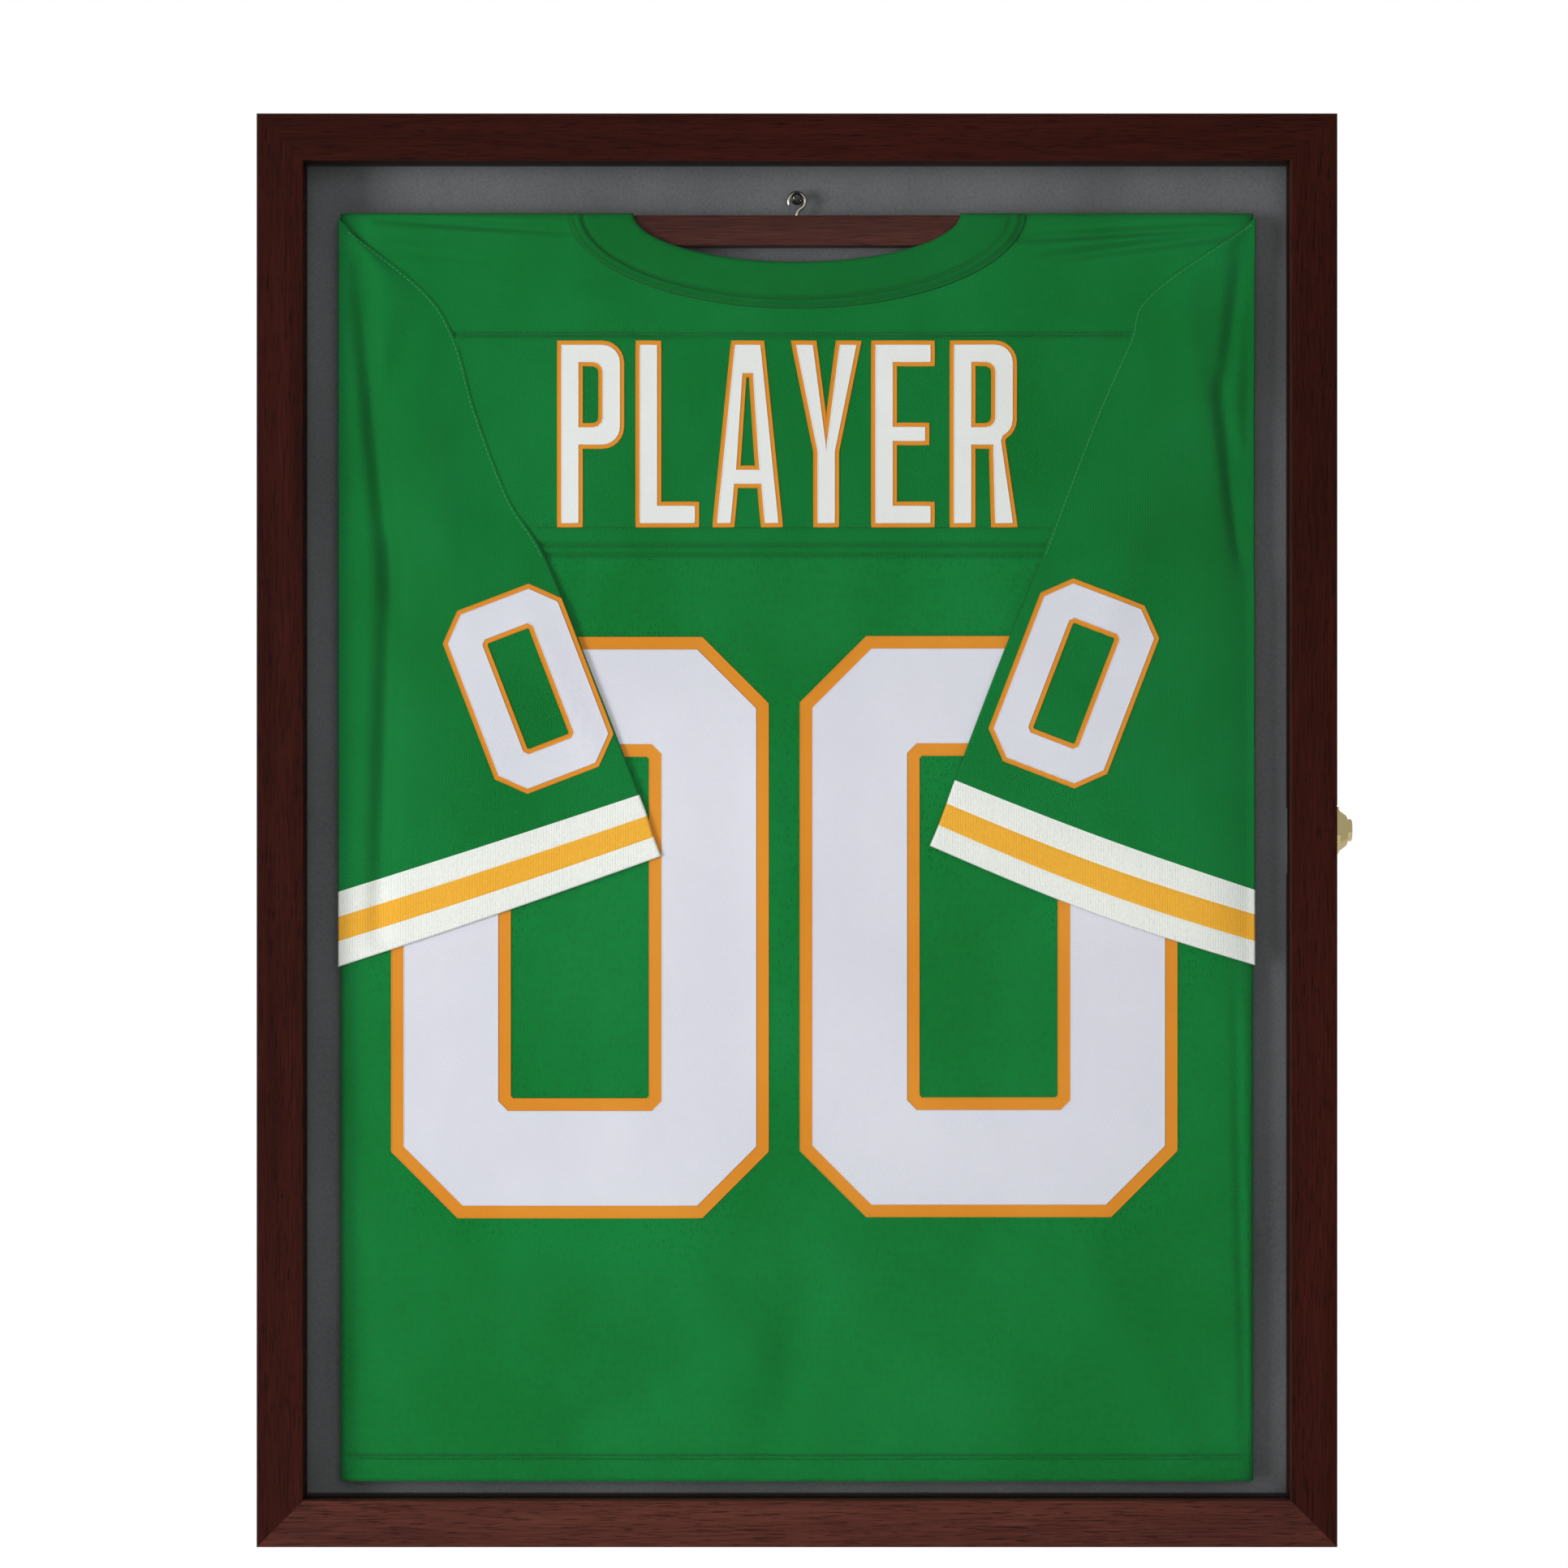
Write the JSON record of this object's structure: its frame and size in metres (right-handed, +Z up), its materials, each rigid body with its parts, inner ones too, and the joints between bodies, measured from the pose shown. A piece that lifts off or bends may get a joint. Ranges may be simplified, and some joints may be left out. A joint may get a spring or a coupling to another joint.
{
  "type": "jersey display frame",
  "caption": "Wall-hung shadow box with mitred wooden frame, hinged lockable acrylic door, grey cloth back and a hanger bar that carries a sports jersey.",
  "frame": {"origin": "middle between the entry holes of the two keyhole plates, on the wall plane", "axes": "+X to the right seen from the front, +Y back into the wall, +Z up"},
  "size_m": [0.6133, 0.057, 0.796],
  "materials": {
    "door_wood": "dark mahogany stain, satin lacquer",
    "case_wood": "dark mahogany stain, satin lacquer",
    "bead_wood": "dark stain",
    "plain_wood": "sawn pine, unfinished",
    "hardboard": "smooth hardboard",
    "board": "grey board",
    "backing_cloth": "grey woven cloth",
    "zinc_steel": "zinc plated",
    "hinge_steel": "antique plated steel",
    "pin_steel": "plain steel",
    "lock_brass": "polished pale brass",
    "cam_steel": "zinc plated",
    "peg_black": "gloss black",
    "hook_nickel": "bright nickel",
    "bar_wood": "dark mahogany stain",
    "acrylic": "clear acrylic sheet",
    "jersey_green": "knitted polyester",
    "jersey_mesh": "micro mesh polyester",
    "twill": "white twill with orange edging",
    "bumper_felt": "black felt"
  },
  "bodies": {
    "case": {"case_top_rail": "case_wood", "case_bottom_rail": "case_wood", "case_left_side": "case_wood", "case_right_side": "case_wood", "case_dowels": "plain_wood", "backing_fabric": "backing_cloth", "backing_board": "board", "back_panel": "hardboard", "back_panel_screws": "zinc_steel", "hanging_batten": "plain_wood", "batten_screws": "zinc_steel", "keyhole_plates": "zinc_steel", "keyhole_screws": "zinc_steel", "hanger_peg": "peg_black", "door_bumpers": "bumper_felt", "upper_hinge_case_leaf": "hinge_steel", "lower_hinge_case_leaf": "hinge_steel", "upper_hinge_pin": "pin_steel", "lower_hinge_pin": "pin_steel", "hinge_case_screws": "hinge_steel", "lock_housing": "lock_brass", "lock_nut": "zinc_steel"},
    "lock": {"lock_plug": "lock_brass", "lock_cam": "cam_steel", "cam_screw": "zinc_steel"},
    "door": {"door_top_rail": "door_wood", "door_bottom_rail": "door_wood", "door_hinge_stile": "door_wood", "door_lock_stile": "door_wood", "door_dowels": "plain_wood", "acrylic_panel": "acrylic", "glazing_bead_top": "bead_wood", "glazing_bead_bottom": "bead_wood", "glazing_bead_left": "bead_wood", "glazing_bead_right": "bead_wood", "bead_pins": "pin_steel", "upper_hinge_door_leaf": "hinge_steel", "lower_hinge_door_leaf": "hinge_steel", "hinge_door_screws": "hinge_steel", "strike_plate": "zinc_steel", "strike_screws": "zinc_steel"},
    "hanger": {"hanger_bar": "bar_wood", "hanger_hook": "hook_nickel", "jersey_yoke": "jersey_green", "jersey_back_panel": "jersey_mesh", "jersey_front_panel": "jersey_mesh", "jersey_left_sleeve": "jersey_green", "jersey_right_sleeve": "jersey_green", "jersey_collar": "jersey_green", "name_letters": "twill", "back_numbers": "twill", "sleeve_numbers": "twill"}
  },
  "joints": [
    {"name": "door_swing", "type": "hinge", "parent": "case", "child": "door", "pos_m": [-0.30015, -0.0385, -0.356], "axis": [0, 0, -1], "range_deg": [0, 180]},
    {"name": "lock_turn", "type": "hinge", "parent": "case", "child": "lock", "pos_m": [0.2925, -0.024, -0.356], "axis": [-1, 0, 0], "range_deg": [0, 90]},
    {"name": "hanger_swing", "type": "hinge", "parent": "case", "child": "hanger", "pos_m": [0, -0.024, -0.00265], "axis": [0, 1, 0], "range_deg": [-1.5, 1.5]}
  ]
}
